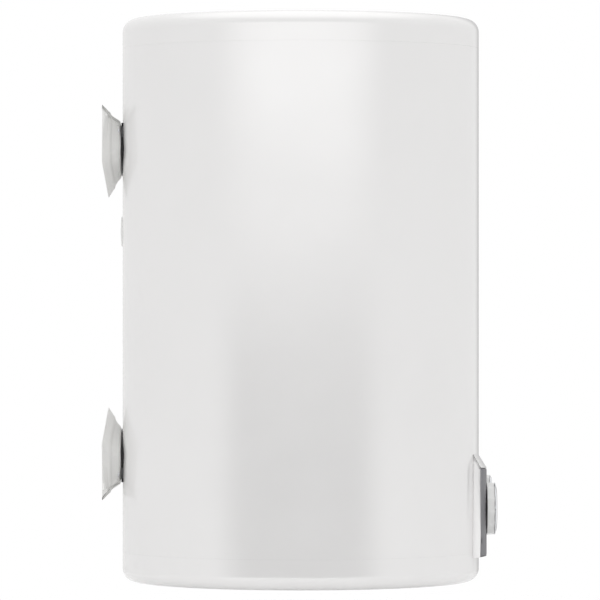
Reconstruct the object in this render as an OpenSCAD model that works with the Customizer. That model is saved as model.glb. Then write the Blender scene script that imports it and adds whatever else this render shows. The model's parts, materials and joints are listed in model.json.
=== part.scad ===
// Wall-hung electric storage water heater, 30 litres, slim round body.
// The origin is the middle of the four wall slots, in the plane of the wall.
// +Y points into the wall, -Y is the front with the control panel, +Z is up.
// Modules are drawn about the body's own axis and base; hung() moves them to that origin.

/* [Body] */
// Outer radius of the casing
case_r = 178; // [176:1:182]
// Height over both caps
case_h = 561; // [555:1:575]
// Radius of the rolled edge at each end
rim_r = 13; // [10:1:14]
// Thickness of the painted sheet
sheet = 1.2; // [0.8:0.1:1.4]
// Depth of the recess under the body
recess_h = 26; // [25:1:27]

/* [Tank] */
// Outer radius of the water tank
tank_r = 150; // [148:1:150]
// Lowest point of the tank above the base
tank_z0 = 60; // [60:1:61]
// Highest point of the tank above the base
tank_z1 = 530; // [515:1:532]
// Wall of the tank
tank_wall = 2; // [1.5:0.1:2.5]

/* [Wall brackets] */
// Distance from the body's axis to the wall
wall_gap = 197; // [197:1:199]
// Width of a bracket over its flared rim
bracket_w = 92; // [90:1:94]
// Length of a bracket's straight sides
bracket_side = 57; // [56:1:60]
// Height of a bracket's pointed part
bracket_tip = 36; // [34:1:38]
// Height of the upper bracket's flat edge above the base
upper_edge_z = 474; // [470:1:474]
// Height of the lower bracket's flat edge above the base
lower_edge_z = 82; // [82:1:86]
// Distance between the two slots of a bracket
slot_pitch = 44; // [42:1:46]
// Radius of the slots' round ends
slot_r = 5.25; // [5:0.05:5.5]
// End-to-end length of a slot
slot_len = 18; // [16:1:19]

/* [Control panel] */
// Half width of the dark face
face_half_w = 54; // [53:1:55]
// Height of the panel's lower edge above the base
panel_z0 = 25; // [25:1:27]
// Height of the dark face
face_h = 90; // [89:1:91]
// Height of the ramp over the dark face
ramp_h = 13; // [11:1:14]
// How far the face stands out of the casing
face_out = 7.8; // [7.6:0.1:8]
// Radius of the temperature knob over its twelve corners
knob_r = 26.5; // [25.5:0.5:26.5]
// Height of the temperature knob's axis above the base
knob_z = 72; // [71:1:73]
// Radius of the power knob
power_r = 13; // [12:0.5:13]
// Sideways distance of the power knob from the middle
power_x = 36; // [36:0.5:36.5]
// Height of the power knob's axis above the base
power_z = 91.8; // [91:0.1:92]

/* [Water and power] */
// Sideways distance of each water pipe from the middle
pipe_x = 100; // [98:1:102]
// Outer radius of a half-inch pipe thread
pipe_r = 10.475; // [10.475:0.005:10.48]
// Bore radius of the cable gland
gland_bore = 4.5; // [4:0.5:5]

/* [Hidden] */
$fn = 96;
eps = 0.01;
gap = 0.3;
slot_drop = 28;
upper_z = upper_edge_z - slot_drop;
lower_z = lower_edge_z + slot_drop;
hang_z = (upper_z + lower_z) / 2;
joint_z = 30;
spigot = 8;
cap_t = 2;
well_r = 150;
recess_open = 70;
shaft_clear = 0.06;
face_r = case_r + face_out;
face_t = 2.8;
face_gap = 0.4;
dial_r = 33;
face_screw_x = face_half_w - 8;
face_screw_z = panel_z0 + 17;
screw_seat = 178.6;
face_a = asin(face_half_w / face_r);
side_lip = 1.6;
ramp_a = asin((face_half_w + side_lip) / face_r);
opening_w = 82;
opening_z0 = 34;
opening_z1 = 106;
plate_y = 164;
plate_t = 1.5;
knob_y0 = face_r + 0.5;
knob_y1 = 193.6;
knob_front = wall_gap;
power_y0 = 184.2;
power_y1 = 190.2;
power_front = 193.3;
dome_h = 36;
dome_flat = 0.3;
dome_r = (tank_r * tank_r + dome_h * dome_h) / (2 * dome_h);
neck_r = 64;
neck_in = 46;
neck_z0 = 48;
gasket_t = 3;
flange_t = 4;
flange_z0 = neck_z0 - gasket_t - flange_t;
stud_circle = 55;
stud_r = 4;
hole_r = 4.3;
loop_x = 14;
loop_y = 18;
loop_r = 4.1;
well_x = 32;
anode_r = 10.5;
cutout_y = 34;
button_r = 3;
nipple_z0 = 6;
nipple_len = 14;
pipe_body_r = pipe_r - 0.8;
bore_r = 7.8;
gland_y = 112;
floor_y = 178.6;
seal_gap = 0.2;
pan_t = 2;
bolt_x = 16;
boss_r = 9;
plug_z = 349;
plug_r = 15;
lamp_x = 34;
lamp_z = 52;
tip_lean = 8.1;
slope = bracket_tip / (bracket_w / 2);

// Moves a piece from the body's own axis and base to the middle of the wall slots.
module hung() translate([0, -wall_gap, -hang_z]) children();

// A cylinder lying along Y, from y0 to y1, with y counted towards the wall.
module rod_y(r, y0, y1, x = 0, z = 0, fn = 64)
  translate([x, y0, z]) rotate([-90, 0, 0]) cylinder(r = r, h = y1 - y0, $fn = fn);

// The same towards the front: y0 and y1 are distances in front of the axis.
module rod_front(r, y0, y1, x = 0, z = 0, fn = 64) rod_y(r, -y1, -y0, x, z, fn);

module tube(r_out, r_in, z0, z1) translate([0, 0, z0]) difference() {
  cylinder(r = r_out, h = z1 - z0);
  translate([0, 0, -1]) cylinder(r = r_in, h = z1 - z0 + 2);
}

// Half outline of a round lid with a rolled upper edge, for turning about Z.
module lid_outline(r, h, f) {
  square([r - f, h]);
  square([r, h - f]);
  translate([r - f, h - f]) circle(r = f, $fn = 96);
}

module lid_shell(r, h, f, t) rotate_extrude($fn = 192) difference() {
  lid_outline(r, h, f);
  translate([-1, -1]) square([1, h + 2]);
  translate([0, -t]) lid_outline(r - t, h, f - t);
}

// A part of a thick ring about Z, centred on the front, between two heights.
module front_sector(r0, r1, half_angle, z0, z1)
  rotate([0, 0, -90 - half_angle])
    rotate_extrude(angle = 2 * half_angle, $fn = 192)
      translate([r0, z0]) square([r1 - r0, z1 - z0]);

module hex(flats, h) cylinder(r = flats / sqrt(3), h = h, $fn = 6);

// ---- casing ----

module outer_casing() color("white") hung() difference() {
  tube(case_r, case_r - sheet, joint_z, case_h - joint_z, $fn = 192);
  translate([-opening_w / 2, -case_r - 5, opening_z0])
    cube([opening_w, 60, opening_z1 - opening_z0]);
  for (z = [upper_z, lower_z], x = [-bolt_x, bolt_x]) rod_y(boss_r + 1, 100, 200, x, z);
  rod_y(plug_r - 2.5, 100, 200, 0, plug_z);
  at_face_screws() rod_front(2.1, 150, 200);
}

module end_cap() {
  spigot_r = case_r - sheet - 2 * gap;
  lid_shell(case_r, joint_z, rim_r, cap_t);
  tube(spigot_r, spigot_r - cap_t, -spigot, 1, $fn = 192);
}

module top_cap() color("white") hung() translate([0, 0, case_h - joint_z]) end_cap();

module bottom_cap() color("white") hung() difference() {
  union() {
    translate([0, 0, joint_z]) mirror([0, 0, 1]) difference() {
      end_cap();
      translate([0, 0, joint_z - 5]) cylinder(r = well_r - 1, h = 10);
    }
    tube(well_r, well_r - cap_t, 0.5, recess_h + cap_t);
    translate([0, 0, recess_h]) cylinder(r = well_r - 1, h = cap_t);
  }
  translate([0, 0, recess_h - 5]) cylinder(r = recess_open - 10, h = 20);
  for (x = [-pipe_x, pipe_x]) translate([x, 0, 0]) cylinder(r = pipe_r + 1, h = 60);
  translate([0, gland_y, 0]) cylinder(r = 8.3, h = 60);
  for (a = [45:90:315]) rotate([0, 0, a]) translate([66, 0, 0]) cylinder(r = 1.9, h = 60);
}

module service_cover() color("whitesmoke") hung() difference() {
  union() {
    translate([0, 0, recess_h - 2.5]) cylinder(r = recess_open + 2, h = 2.4);
    tube(56, 54, recess_h - 2.5, recess_h + 3);
    for (a = [0:30:150]) rotate([0, 0, a]) translate([28, -1.5, recess_h - 3.7])
      cube([20, 3, 1.4]);
  }
  translate([0, cutout_y, 0]) cylinder(r = button_r + 0.5, h = 60);
  for (a = [45:90:315]) rotate([0, 0, a]) translate([66, 0, 0]) cylinder(r = 2.3, h = 60);
}

module service_cover_screws() color("silver") hung()
  for (a = [45:90:315]) rotate([0, 0, a]) translate([66, 0, recess_h - 4.7]) difference() {
    union() {
      cylinder(r = 3.8, h = 2.1);
      translate([0, 0, 2]) cylinder(r = 1.8, h = 9);
    }
    translate([-0.5, -2.6, -eps]) cube([1, 5.2, 1.1]);
    translate([-2.6, -0.5, -eps]) cube([5.2, 1, 1.1]);
  }

// ---- tank and what goes through its flange ----

// The tank's outline, pulled in by inset: a tube between two shallow domes.
module tank_hull(inset) union() {
  intersection() {
    translate([0, 0, tank_z0 - 1]) cylinder(r = tank_r - inset, h = 101, $fn = 192);
    translate([0, 0, tank_z0 + dome_r]) sphere(r = dome_r - inset, $fn = 192);
  }
  translate([0, 0, tank_z0 + 99]) cylinder(r = tank_r - inset, h = tank_z1 - tank_z0 - 198, $fn = 192);
  intersection() {
    translate([0, 0, tank_z1 - 100]) cylinder(r = tank_r - inset, h = 100 - inset - dome_flat, $fn = 192);
    translate([0, 0, tank_z1 - dome_r]) sphere(r = dome_r - inset, $fn = 192);
  }
}

module inner_tank() color("royalblue") hung() difference() {
  union() {
    tank_hull(0);
    translate([0, 0, neck_z0]) cylinder(r = neck_r, h = 22);
  }
  tank_hull(tank_wall);
  translate([0, 0, neck_z0 - 1]) cylinder(r = neck_in, h = 40);
  for (x = [-pipe_x, pipe_x]) translate([x, 0, neck_z0]) cylinder(r = pipe_body_r + 0.2, h = 60);
}

module insulation() color("khaki") hung() difference() {
  union() {
    translate([0, 0, 50]) cylinder(r = case_r - sheet - 0.6, h = case_h - joint_z - spigot - 52, $fn = 192);
    translate([0, 0, 60]) cylinder(r = case_r - sheet - 5, h = case_h - 66, $fn = 192);
  }
  tank_hull(-0.4);
  translate([0, 0, 40]) cylinder(r = neck_r + 2, h = 40);
  for (x = [-pipe_x, pipe_x]) translate([x, 0, 40]) cylinder(r = pipe_body_r + 0.5, h = 60);
  translate([-face_half_w, -200, 40]) cube([2 * face_half_w, 78, 82]);
  for (z = [upper_z, lower_z], x = [-bolt_x, bolt_x]) rod_y(boss_r + 0.5, 100, 200, x, z);
  rod_y(plug_r, 168, 200, 0, plug_z);
}

module at_studs() for (a = [0:60:300]) rotate([0, 0, a]) translate([stud_circle, 0, 0]) children();

// Round holes for all that passes through the flange.
module flange_holes() {
  at_studs() cylinder(r = hole_r, h = 100);
  for (x = [-loop_x, loop_x], y = [-loop_y, loop_y]) translate([x, y, 0])
    cylinder(r = loop_r + 0.1, h = 100);
  translate([well_x, 0, 0]) cylinder(r = 4.1, h = 100);
  translate([-well_x, 0, 0]) cylinder(r = stud_r, h = 100);
}

module flange_gasket() color("dimgray") hung() difference() {
  tube(neck_r - 1, neck_in, neck_z0 - gasket_t, neck_z0);
  at_studs() cylinder(r = hole_r, h = 100);
}

module flange_plate() color("steelblue") hung() difference() {
  translate([0, 0, flange_z0]) cylinder(r = neck_r, h = flange_t);
  flange_holes();
}

module flange_studs() color("silver") hung() at_studs()
  translate([0, 0, flange_z0 - 8]) cylinder(r = stud_r, h = neck_z0 - flange_z0 + 8, $fn = 32);

module flange_nuts() color("silver") hung() at_studs()
  translate([0, 0, flange_z0 - 6.5]) difference() {
    hex(13, 6.5);
    translate([0, 0, -1]) cylinder(r = stud_r + 0.05, h = 9, $fn = 32);
  }

module element(y, top) {
  for (x = [-loop_x, loop_x]) {
    translate([x, y, flange_z0 - 4]) cylinder(r = loop_r, h = top - flange_z0 + 4, $fn = 32);
    translate([x, y, flange_z0 - 8]) cylinder(r = 1.6, h = 5, $fn = 32);
  }
  translate([0, y, top]) rotate([90, 0, 0]) rotate_extrude(angle = 180, $fn = 64)
    translate([loop_x, 0]) circle(r = loop_r, $fn = 32);
}

module main_element() color("peru") hung() element(-loop_y, 330);
module boost_element() color("peru") hung() element(loop_y, 270);

module thermowell() color("peru") hung() translate([well_x, 0, flange_z0 - 2]) difference() {
  cylinder(r = 4, h = 220, $fn = 32);
  translate([0, 0, -1]) cylinder(r = 3, h = 219, $fn = 32);
}

module magnesium_anode() color("lightgray") hung() translate([-well_x, 0, 0]) {
  translate([0, 0, neck_z0 - gasket_t + 0.2]) cylinder(r = anode_r, h = 230, $fn = 48);
  translate([0, 0, flange_z0 - 8]) cylinder(r = stud_r - 0.1, h = 14, $fn = 32);
}

module anode_nut() color("silver") hung() translate([-well_x, 0, flange_z0 - 6.5]) difference() {
  hex(13, 6.5);
  translate([0, 0, -1]) cylinder(r = stud_r, h = 9, $fn = 32);
}

// ---- water ----

module pipe(top) difference() {
  union() {
    translate([0, 0, nipple_z0]) cylinder(r = pipe_r, h = nipple_len);
    translate([0, 0, nipple_z0 + 2]) cylinder(r = pipe_body_r, h = top - nipple_z0 - 2);
    translate([0, 0, recess_h + cap_t + 1]) hex(27, 6);
  }
  translate([0, 0, nipple_z0 - 1]) cylinder(r = bore_r, h = top);
}

module cold_inlet_pipe() color("silver") hung() translate([pipe_x, 0, 0]) pipe(110);
module hot_outlet_pipe() color("silver") hung() translate([-pipe_x, 0, 0]) pipe(500);

module inlet_diffuser() color("white") hung() translate([pipe_x, 0, 110.1]) difference() {
  cylinder(r = 14, h = 16);
  translate([0, 0, -1]) cylinder(r = 8, h = 13);
  for (a = [0:45:135]) rotate([0, 0, a]) translate([-20, -2.5, 4]) cube([40, 5, 5]);
}

module collar() tube(17, pipe_r + 0.15, recess_h - 4, recess_h - 0.1);
module cold_collar() color("blue") hung() translate([pipe_x, 0, 0]) collar();
module hot_collar() color("red") hung() translate([-pipe_x, 0, 0]) collar();

// ---- wall brackets ----

// Outline of a bracket, pulled in by i: flat edge up, straight sides, a point below.
function plate_points(i) = let (a = bracket_w / 2 - i, tip = i * sqrt(1 + slope * slope))
  [[-a, -i], [-a, -bracket_side - bracket_tip + tip + slope * a],
   [0, -bracket_side - bracket_tip + tip],
   [a, -bracket_side - bracket_tip + tip + slope * a], [a, -i]];

// A thin leaf of that outline at y; its pointed part leans towards the casing.
module leaf(i, y, lean) translate([0, y, 0]) rotate([90, 0, 0]) {
  intersection() {
    linear_extrude(0.1) polygon(plate_points(i));
    translate([-100, -bracket_side, -1]) cube([200, 100, 3]);
  }
  translate([0, -bracket_side, 0]) rotate([-lean, 0, 0]) translate([0, bracket_side, 0]) intersection() {
    linear_extrude(0.1) polygon(plate_points(i));
    translate([-100, -bracket_side - 100, -1]) cube([200, 100, 3]);
  }
}

module dish_form(t, lift) {
  hull() {
    leaf(t, wall_gap + lift / 10, tip_lean);
    leaf(7 + t, wall_gap - 7 + lift, tip_lean);
  }
  hull() {
    leaf(7 + t, wall_gap - 7 + lift, tip_lean);
    leaf(10 + t, wall_gap - 9 + lift, tip_lean);
    leaf(14.5 + t, floor_y + 2.5 + lift, 0);
    leaf(18 + t, floor_y + 0.1 + lift, 0);
  }
}

// The flat edge is at z = 0 and the point hangs down.
module wall_bracket() difference() {
  dish_form(0, 0);
  dish_form(pan_t, pan_t);
  for (x = [-bolt_x, bolt_x]) rod_y(hole_r, 150, 190, x, -slot_drop);
}

module upper_wall_bracket() color("gainsboro") hung() translate([0, 0, upper_edge_z]) wall_bracket();
module lower_wall_bracket() color("gainsboro") hung()
  translate([0, 0, lower_edge_z]) mirror([0, 0, 1]) wall_bracket();

module slot() {
  reach = slot_len / 2 - slot_r;
  for (x = [-reach, reach]) rod_y(slot_r, wall_gap - 10, wall_gap + 10, x);
  translate([-reach, wall_gap - 10, -slot_r]) cube([2 * reach, 20, 2 * slot_r]);
}

module hook_plate() difference() {
  translate([-bracket_w / 2 + 6, wall_gap - 2.5, -24]) cube([bracket_w - 12, 2.5, 46]);
  for (x = [-slot_pitch / 2, slot_pitch / 2]) translate([x, 0, 0]) slot();
}

module upper_hook_plate() color("gainsboro") hung() translate([0, 0, upper_z]) hook_plate();
module lower_hook_plate() color("gainsboro") hung()
  translate([0, 0, lower_z]) mirror([0, 0, 1]) hook_plate();

module at_brackets() {
  translate([0, 0, upper_edge_z]) children();
  translate([0, 0, lower_edge_z]) mirror([0, 0, 1]) children();
}

module bracket_seals() color("black") hung() difference() {
  at_brackets() translate([0, floor_y - seal_gap, 0]) rotate([90, 0, 0]) linear_extrude(8)
    polygon(plate_points(17));
  translate([0, 0, -1]) cylinder(r = case_r + 0.05, h = case_h, $fn = 256);
  for (z = [upper_z, lower_z], x = [-bolt_x, bolt_x]) rod_y(boss_r + 1, 100, 200, x, z);
}

module bracket_standoffs() color("steelblue") hung() difference() {
  for (z = [upper_z, lower_z], x = [-bolt_x, bolt_x]) rod_y(boss_r, 140, floor_y - 0.1, x, z);
  translate([0, 0, 20]) cylinder(r = tank_r + 0.1, h = case_h, $fn = 192);
  for (z = [upper_z, lower_z], x = [-bolt_x, bolt_x]) rod_y(stud_r + 0.1, 158, 200, x, z);
}

module bracket_bolts() color("silver") hung()
  for (z = [upper_z, lower_z], x = [-bolt_x, bolt_x]) {
    rod_y(stud_r, 160, floor_y + pan_t + 1.5, x, z, 32);
    rod_y(9, floor_y + pan_t + 0.1, floor_y + pan_t + 1.6, x, z);
    translate([x, floor_y + pan_t + 1.5, z]) rotate([-90, 0, 0]) hex(13, 5.3);
  }

module foam_plug() color("white") hung() difference() {
  union() {
    rod_y(plug_r, 172, case_r + 1.3, 0, plug_z);
    rod_y(4, 172, case_r + 1.9, 0, plug_z);
  }
  difference() {
    translate([0, 0, plug_z - 40]) cylinder(r = case_r + 0.05, h = 80, $fn = 192);
    rod_y(plug_r - 3, 160, 190, 0, plug_z);
  }
}

// ---- control panel ----

module at_face_screws() for (x = [-face_screw_x, face_screw_x]) translate([x, 0, face_screw_z]) children();

module panel_surround() color("white") hung() difference() {
  rotate([0, 0, -90 - ramp_a]) rotate_extrude(angle = 2 * ramp_a, $fn = 192)
    polygon([[case_r + 0.1, panel_z0], [face_r, panel_z0], [face_r, panel_z0 + face_h],
      [case_r + 0.1, panel_z0 + face_h + ramp_h]]);
  front_sector(face_r - face_t - face_gap, face_r + 5, face_a, panel_z0 - 1, panel_z0 + face_h - 0.5);
  translate([-opening_w / 2, -face_r - 5, opening_z0])
    cube([opening_w, 60, opening_z1 - opening_z0]);
  at_face_screws() rod_front(2.1, 150, 200);
}

module panel_face() color("dimgray") hung() difference() {
  union() {
    front_sector(face_r - face_t - 1, face_r, face_a - 0.15, panel_z0, panel_z0 + face_h - 0.9);
    rod_front(dial_r, face_r - 10, face_r + 0.1, 0, knob_z);
    rod_front(power_r + 2, face_r - 14, power_y0 - 0.6, power_x, power_z);
  }
  cylinder(r = face_r - face_t, h = panel_z0 + face_h + 5, $fn = 192);
  rod_front(power_r + 1, power_y0 - 0.6, 200, power_x, power_z);
  rod_front(4, 150, 200, 0, knob_z);
  rod_front(3, 150, 200, power_x, power_z);
  rod_front(4.2, 150, 200, lamp_x, lamp_z);
  at_face_screws() rod_front(2.1, 150, 200);
  at_face_screws() rod_front(3.9, screw_seat, 200);
}

module panel_screws() color("silver") hung() at_face_screws() difference() {
  union() {
    rod_front(3.6, screw_seat + 0.1, screw_seat + 1, 0, 0, 32);
    rod_front(1.9, plate_y + 3, screw_seat + 0.5, 0, 0, 32);
  }
  translate([-0.5, -screw_seat - 2, -2.5]) cube([1, 1.4, 5]);
}

module control_plate() color("silver") hung() difference() {
  translate([-52, -plate_y, opening_z0 - 4])
    cube([104, plate_t, opening_z1 - opening_z0 + 8]);
  rod_front(4.5, 100, 200, 0, knob_z);
  rod_front(4, 100, 200, power_x, power_z);
  rod_front(4.4, 100, 200, lamp_x, lamp_z);
  for (x = [-14, 14]) rod_front(1.9, 100, 200, x, knob_z);
}

module control_screws() color("silver") hung() for (x = [-14, 14]) {
  rod_front(3.4, plate_y + 0.05, plate_y + 2.2, x, knob_z, 32);
  rod_front(1.8, plate_y - 8, plate_y + 0.1, x, knob_z, 32);
}

module thermostat() color("ivory") hung() difference() {
  union() {
    translate([-19, -plate_y + plate_t + 0.1, knob_z - 19]) cube([38, 20, 38]);
    rod_front(4.3, plate_y - 5, plate_y + 3, 0, knob_z);
  }
  rod_front(3 + shaft_clear, 148, 200, 0, knob_z);
  for (x = [-14, 14]) rod_front(1.9, 150, 200, x, knob_z, 32);
}

module thermostat_shaft() color("silver") hung() difference() {
  rod_front(3, 148.4, 193, 0, knob_z);
  translate([1.6, -200, knob_z - 5]) cube([5, 13, 10]);
}

module power_switch() color("ivory") hung() difference() {
  union() {
    translate([power_x - 13, -plate_y + plate_t + 0.1, power_z - 13]) cube([26, 14, 26]);
    rod_front(3.8, plate_y - 5, plate_y + 3, power_x, power_z);
  }
  rod_front(2.5 + shaft_clear, 152, 200, power_x, power_z);
}

module power_switch_shaft() color("silver") hung() rod_front(2.5, 152.4, 189.8, power_x, power_z);

module temperature_knob() color("white") hung() difference() {
  union() {
    translate([0, -knob_y0, knob_z]) rotate([90, -5, 0])
      cylinder(r = knob_r, h = knob_y1 - knob_y0, $fn = 12);
    rod_front(15, knob_y0 - 0.3, knob_y0 + 1, 0, knob_z);
  }
  difference() {
    rod_front(23, knob_y0 - 1, knob_y1 - 2.5, 0, knob_z);
    rod_front(7, knob_y0 - 1, knob_y1, 0, knob_z);
  }
  difference() {
    rod_front(3.05, 180, 193.1, 0, knob_z);
    translate([1.65, -200, knob_z - 5]) cube([5, 13, 10]);
  }
}

module temperature_knob_ring() color("silver") hung() difference() {
  intersection() {
    rod_front(26, knob_y1 + 0.02, 200, 0, knob_z, 96);
    translate([0, -knob_front + 131, knob_z]) sphere(r = 131, $fn = 256);
  }
  rod_front(17, 190, 200, 0, knob_z, 96);
}

module temperature_knob_cap() color("white") hung() difference() {
  rod_front(16.8, knob_y1 + 0.02, 196.2, 0, knob_z, 96);
  translate([-1.2, -200, knob_z + 4]) cube([2.4, 4.6, 10]);
}

module power_knob() color("white") hung() difference() {
  translate([power_x, -power_y0, power_z]) rotate([90, -5, 0])
    cylinder(r = power_r, h = power_y1 - power_y0, $fn = 12);
  rod_front(2.55, 180, 189.9, power_x, power_z);
}

module power_knob_ring() color("silver") hung() difference() {
  intersection() {
    rod_front(power_r - 0.3, power_y1 + 0.02, 200, power_x, power_z);
    translate([power_x, -power_front + 34, power_z]) sphere(r = 34, $fn = 128);
  }
  rod_front(8, 180, 200, power_x, power_z);
}

module power_knob_cap() color("white") hung() difference() {
  rod_front(7.8, power_y1 + 0.02, 192.2, power_x, power_z);
  translate([power_x - 0.7, -200, power_z + 2]) cube([1.4, 8.6, 5]);
}

module indicator_lamp() color("orange") hung() {
  rod_front(3.5, 160, 174, lamp_x, lamp_z, 32);
  rod_front(6, 156, 160, lamp_x, lamp_z, 32);
}

module indicator_lens() color("darkred") hung() {
  rod_front(4, 174.2, 182.2, lamp_x, lamp_z, 48);
}

// ---- cut-out, terminals and cable entry ----

module thermal_cutout() color("ivory") hung() translate([0, cutout_y, flange_z0 - 8.1]) difference() {
  union() {
    cylinder(r = 8, h = 8);
    translate([-12, -2, 0]) cube([24, 4, 1.5]);
  }
  translate([0, 0, -1]) cylinder(r = button_r + shaft_clear, h = 5);
}

module reset_button() color("crimson") hung() translate([0, cutout_y, 20.8])
  cylinder(r = button_r, h = 13, $fn = 48);

module terminal_block() color("ivory") hung() translate([-22, 72, recess_h + cap_t + 0.1]) difference() {
  cube([44, 18, 13]);
  for (x = [4:10:34]) {
    translate([x, -1, 3]) cube([6, 20, 4]);
    translate([x + 3, 9, 8]) cylinder(r = 2.5, h = 10, $fn = 32);
  }
}

module earth_screw() color("gold") hung() translate([42, 78, recess_h + cap_t + 0.1]) {
  hex(8, 5);
  cylinder(r = 2.4, h = 9, $fn = 32);
}

// A straight run of wire or fine tube, a little over length so that runs meet in a bend.
module run(a, b, r = 1.1) {
  d = b - a;
  translate(a) rotate([0, acos(d[2] / norm(d)), atan2(d[1], d[0])])
    translate([0, 0, -r / 2]) cylinder(r = r, h = norm(d) + r, $fn = 8);
}

module wiring() color("brown") hung() for (s = [-1, 1]) {
  run([s * 12, -150, 51.5], [s * 12, -150, 44]);
  run([s * 12, -150, 44], [s * 40, -70, 31]);
  run([s * 40, -70, 31], [s * 30, 68, 31]);
  run([s * 30, 68, 31], [s * 19, 71, 33]);
}

module thermostat_bulb_line() color("peru") hung() {
  run([4, -150, 51.5], [4, -150, 45], 0.9);
  run([4, -150, 45], [12, -85, 31], 0.9);
  run([12, -85, 31], [well_x, -12, 31], 0.9);
  run([well_x, -12, 31], [well_x, 0, 35], 0.9);
  run([well_x, 0, 35], [well_x, 0, 150], 0.9);
  translate([well_x, 0, 150]) cylinder(r = 2.7, h = 90, $fn = 32);
}

module cable_gland() color("dimgray") hung() translate([0, gland_y, 0]) difference() {
  union() {
    translate([0, 0, recess_h + cap_t - 6.1]) hex(22, 4);
    translate([0, 0, recess_h - 12]) cylinder(r = 9.5, h = 10);
    translate([0, 0, recess_h - 4]) cylinder(r = 8, h = 12);
  }
  translate([0, 0, -1]) cylinder(r = gland_bore, h = 60);
}

module gland_nut() color("dimgray") hung() translate([0, gland_y, recess_h + cap_t + 0.1]) difference() {
  hex(22, 4);
  translate([0, 0, -1]) cylinder(r = 8.1, h = 9);
}

outer_casing();
top_cap();
bottom_cap();
service_cover();
service_cover_screws();
insulation();
inner_tank();
flange_gasket();
flange_plate();
flange_studs();
flange_nuts();
main_element();
boost_element();
thermowell();
magnesium_anode();
anode_nut();
cold_inlet_pipe();
inlet_diffuser();
hot_outlet_pipe();
cold_collar();
hot_collar();
upper_wall_bracket();
lower_wall_bracket();
upper_hook_plate();
lower_hook_plate();
bracket_seals();
bracket_standoffs();
bracket_bolts();
foam_plug();
panel_surround();
panel_face();
panel_screws();
control_plate();
control_screws();
thermostat();
thermostat_shaft();
thermostat_bulb_line();
temperature_knob();
temperature_knob_ring();
temperature_knob_cap();
power_switch();
power_switch_shaft();
power_knob();
power_knob_ring();
power_knob_cap();
indicator_lamp();
indicator_lens();
thermal_cutout();
reset_button();
terminal_block();
wiring();
earth_screw();
cable_gland();
gland_nut();
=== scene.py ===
import json
import math

import bmesh
import bpy
from mathutils import Matrix, Vector


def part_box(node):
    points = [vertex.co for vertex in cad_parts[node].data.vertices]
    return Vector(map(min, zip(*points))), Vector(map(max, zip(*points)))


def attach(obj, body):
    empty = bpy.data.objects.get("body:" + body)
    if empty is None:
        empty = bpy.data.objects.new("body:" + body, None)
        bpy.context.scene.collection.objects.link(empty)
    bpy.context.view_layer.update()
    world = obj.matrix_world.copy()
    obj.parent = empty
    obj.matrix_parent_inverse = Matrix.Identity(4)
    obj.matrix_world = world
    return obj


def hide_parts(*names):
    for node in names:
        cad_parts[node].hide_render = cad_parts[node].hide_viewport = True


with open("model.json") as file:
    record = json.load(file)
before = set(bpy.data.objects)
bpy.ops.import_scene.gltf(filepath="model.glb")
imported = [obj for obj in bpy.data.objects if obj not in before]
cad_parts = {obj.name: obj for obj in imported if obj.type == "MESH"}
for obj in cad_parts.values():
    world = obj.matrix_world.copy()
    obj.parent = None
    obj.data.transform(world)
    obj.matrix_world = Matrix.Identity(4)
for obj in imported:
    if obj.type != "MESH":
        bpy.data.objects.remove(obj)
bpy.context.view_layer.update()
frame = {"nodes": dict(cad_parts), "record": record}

MM = 0.001
ROOT = "heater"

# ---- places, read from the frame ----

case_lo, case_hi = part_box("outer_casing")
CASE_R = (case_hi.x - case_lo.x) / 2
AXIS = Vector(((case_lo.x + case_hi.x) / 2, (case_lo.y + case_hi.y) / 2, 0))
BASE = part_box("bottom_cap")[0].z
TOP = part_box("top_cap")[1].z
SEAM_LOW, SEAM_HIGH = case_lo.z, case_hi.z
RIM = 13 * MM
SEAM_EASE = 0.04 * MM
SEAM_GAP = 0.02 * MM
SHEET_SMOOTH = 25
ROUND_STEPS = 256
WALL_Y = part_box("upper_hook_plate")[1].y


def middle(node):
    lo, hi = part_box(node)
    return (lo + hi) / 2


def upright(node):
    """The foot of a node's vertical axis, at height 0."""
    centre = middle(node)
    return Vector((centre.x, centre.y, 0))


# ---- node materials ----


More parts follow.
